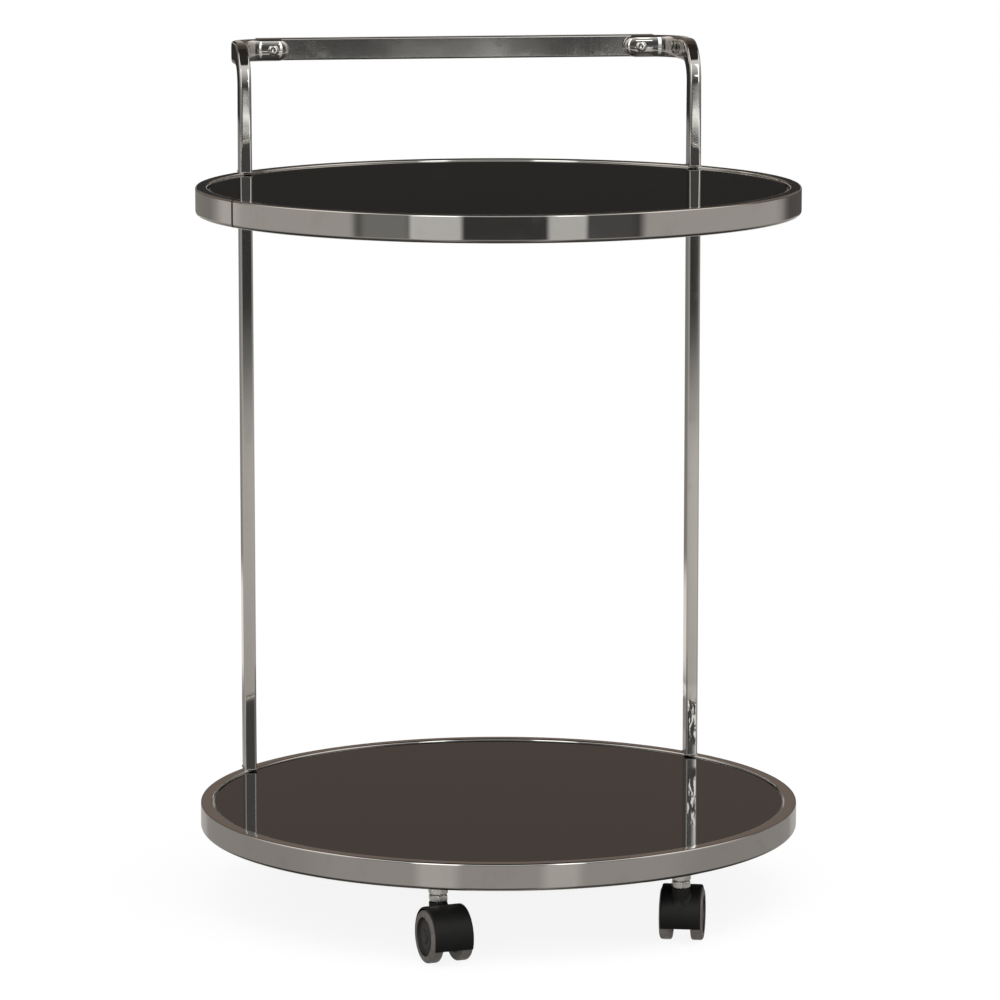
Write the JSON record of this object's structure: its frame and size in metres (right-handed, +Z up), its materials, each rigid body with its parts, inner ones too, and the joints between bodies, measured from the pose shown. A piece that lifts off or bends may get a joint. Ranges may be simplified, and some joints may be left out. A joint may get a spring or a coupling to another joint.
{
  "type": "two-tier round trolley",
  "caption": "Round two-tier serving trolley with chromed tube rings, dark glass discs, two rear posts, a raised rear handle and swivelling twin-wheel casters.",
  "frame": {"origin": "on the floor, on the common axis of the two round tiers", "axes": "+Z up, +X to the right, -Y to the front; the handle is on the +Y side"},
  "size_m": [0.47, 0.4775, 0.662],
  "materials": {
    "polished_chrome": "polished, slightly dark chrome plate with fine streaks",
    "zinc_steel": "bright zinc-plated turned steel",
    "bright_screw": "polished domed screw",
    "dark_glass": "black toughened glass, polished face, thin bright bevelled edge",
    "clear_silicone": "clear silicone bumper",
    "black_plastic": "moulded black nylon",
    "wheel_plastic": "dark grey moulded wheel, darker dish"
  },
  "bodies": {
    "frame": {"upper_ring": "polished_chrome", "lower_ring": "polished_chrome", "upper_glass": "dark_glass", "lower_glass": "dark_glass", "upper_glass_tabs": "polished_chrome", "lower_glass_tabs": "polished_chrome", "upper_glass_pads": "clear_silicone", "lower_glass_pads": "clear_silicone", "left_post": "polished_chrome", "right_post": "polished_chrome", "post_end_plugs": "zinc_steel", "post_foot_screws": "zinc_steel", "upper_joint_studs": "zinc_steel", "left_handle_arm": "polished_chrome", "right_handle_arm": "polished_chrome", "arm_end_plugs": "zinc_steel", "handle_bar": "polished_chrome", "handle_bar_inserts": "zinc_steel", "handle_screws": "bright_screw", "caster_lugs": "polished_chrome", "caster_lock_nuts": "zinc_steel", "stem_grip_rings": "zinc_steel", "front_left_stem": "zinc_steel", "front_right_stem": "zinc_steel", "rear_left_stem": "zinc_steel", "rear_right_stem": "zinc_steel"},
    "front_left_caster": {"front_left_housing": "black_plastic", "front_left_axle": "zinc_steel"},
    "front_left_wheel_a": {"front_left_wheel_a": "wheel_plastic"},
    "front_left_wheel_b": {"front_left_wheel_b": "wheel_plastic"},
    "front_right_caster": {"front_right_housing": "black_plastic", "front_right_axle": "zinc_steel"},
    "front_right_wheel_a": {"front_right_wheel_a": "wheel_plastic"},
    "front_right_wheel_b": {"front_right_wheel_b": "wheel_plastic"},
    "rear_left_caster": {"rear_left_housing": "black_plastic", "rear_left_axle": "zinc_steel"},
    "rear_left_wheel_a": {"rear_left_wheel_a": "wheel_plastic"},
    "rear_left_wheel_b": {"rear_left_wheel_b": "wheel_plastic"},
    "rear_right_caster": {"rear_right_housing": "black_plastic", "rear_right_axle": "zinc_steel"},
    "rear_right_wheel_a": {"rear_right_wheel_a": "wheel_plastic"},
    "rear_right_wheel_b": {"rear_right_wheel_b": "wheel_plastic"}
  },
  "joints": [
    {"name": "front_left_swivel", "type": "hinge", "parent": "frame", "child": "front_left_caster", "pos_m": [-0.07866, -0.20492, 0.0432], "axis": [0, 0, 1], "continuous": true},
    {"name": "front_left_wheel_a_spin", "type": "hinge", "parent": "front_left_caster", "child": "front_left_wheel_a", "pos_m": [-0.07585, -0.2171, 0.02], "axis": [0.9744, 0.225, 0], "continuous": true},
    {"name": "front_left_wheel_b_spin", "type": "hinge", "parent": "front_left_caster", "child": "front_left_wheel_b", "pos_m": [-0.07585, -0.2171, 0.02], "axis": [0.9744, 0.225, 0], "continuous": true},
    {"name": "front_right_swivel", "type": "hinge", "parent": "frame", "child": "front_right_caster", "pos_m": [0.10975, -0.19009, 0.0432], "axis": [0, 0, 1], "continuous": true},
    {"name": "front_right_wheel_a_spin", "type": "hinge", "parent": "front_right_caster", "child": "front_right_wheel_a", "pos_m": [0.1132, -0.17808, 0.02], "axis": [-0.9613, 0.2756, 0], "continuous": true},
    {"name": "front_right_wheel_b_spin", "type": "hinge", "parent": "front_right_caster", "child": "front_right_wheel_b", "pos_m": [0.1132, -0.17808, 0.02], "axis": [-0.9613, 0.2756, 0], "continuous": true},
    {"name": "rear_left_swivel", "type": "hinge", "parent": "frame", "child": "rear_left_caster", "pos_m": [-0.16691, 0.14255, 0.0432], "axis": [0, 0, 1], "continuous": true},
    {"name": "rear_left_wheel_a_spin", "type": "hinge", "parent": "rear_left_caster", "child": "rear_left_wheel_a", "pos_m": [-0.15956, 0.13244, 0.02], "axis": [0.809, 0.5878, 0], "continuous": true},
    {"name": "rear_left_wheel_b_spin", "type": "hinge", "parent": "rear_left_caster", "child": "rear_left_wheel_b", "pos_m": [-0.15956, 0.13244, 0.02], "axis": [0.809, 0.5878, 0], "continuous": true},
    {"name": "rear_right_swivel", "type": "hinge", "parent": "frame", "child": "rear_right_caster", "pos_m": [0.14255, 0.16691, 0.0432], "axis": [0, 0, 1], "continuous": true},
    {"name": "rear_right_wheel_a_spin", "type": "hinge", "parent": "rear_right_caster", "child": "rear_right_wheel_a", "pos_m": [0.13649, 0.15598, 0.02], "axis": [0.8746, -0.4848, 0], "continuous": true},
    {"name": "rear_right_wheel_b_spin", "type": "hinge", "parent": "rear_right_caster", "child": "rear_right_wheel_b", "pos_m": [0.13649, 0.15598, 0.02], "axis": [0.8746, -0.4848, 0], "continuous": true}
  ]
}
